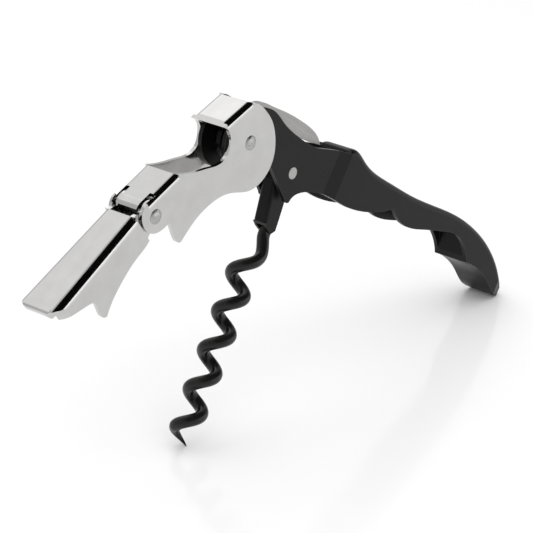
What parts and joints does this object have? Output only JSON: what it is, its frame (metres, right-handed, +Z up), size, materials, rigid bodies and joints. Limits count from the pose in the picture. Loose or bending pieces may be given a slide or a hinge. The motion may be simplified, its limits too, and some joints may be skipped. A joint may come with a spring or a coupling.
{
  "type": "waiters corkscrew",
  "caption": "Folding waiter's corkscrew with a black pressed-steel handle, chrome two-step hinged lever with cap opener, coated worm and a folding foil knife.",
  "frame": {"origin": "on the standing surface under the middle of the bounding box, in the object's middle plane", "axes": "+Z up, +X from the lever's end towards the handle's tail, +Y to the far side, across the rivets; the object stands open on the worm's tip and the handle's tail"},
  "size_m": [0.1516, 0.0106, 0.076],
  "materials": {
    "black_paint": "satin black baked enamel",
    "chrome_plate": "bright chrome plate",
    "blade_steel": "satin ground",
    "polished_rivet": "polished, lightly turned",
    "spacer_steel": "plain turned",
    "black_bracket": "satin black",
    "worm_coating": "smooth low-friction black coating, semi-gloss"
  },
  "bodies": {
    "handle": {"handle_body": "black_paint", "lever_rivet": "polished_rivet", "worm_rivet": "polished_rivet", "knife_spacers": "spacer_steel", "worm_spacers": "spacer_steel", "worm_sleeve": "spacer_steel"},
    "lever_first_step": {"lever_upper": "chrome_plate"},
    "lever_second_step": {"lever_lower": "chrome_plate", "knee_rivet": "polished_rivet", "knee_sleeve": "spacer_steel"},
    "worm": {"worm_bracket": "black_bracket", "worm_wire": "worm_coating"},
    "knife": {"knife_blade": "blade_steel"}
  },
  "joints": [
    {"name": "lever_fold", "type": "hinge", "parent": "handle", "child": "lever_first_step", "pos_m": [-0.0162, 0, 0.06703], "axis": [0, -1, 0], "range_deg": [0, 106]},
    {"name": "worm_fold", "type": "hinge", "parent": "handle", "child": "worm", "pos_m": [-0.00152, 0, 0.05542], "axis": [0, -1, 0], "range_deg": [0, 84.8]},
    {"name": "knee_bend", "type": "hinge", "parent": "lever_first_step", "child": "lever_second_step", "pos_m": [-0.04545, 0, 0.05952], "axis": [0, -1, 0], "range_deg": [0, 20]},
    {"name": "knife_open", "type": "hinge", "parent": "handle", "child": "knife", "pos_m": [-0.0162, 0, 0.06703], "axis": [0, -1, 0], "range_deg": [0, 32]}
  ],
  "couplings": [
    {"joint": "worm_fold", "follows": "lever_fold", "ratio": 0.8}
  ]
}
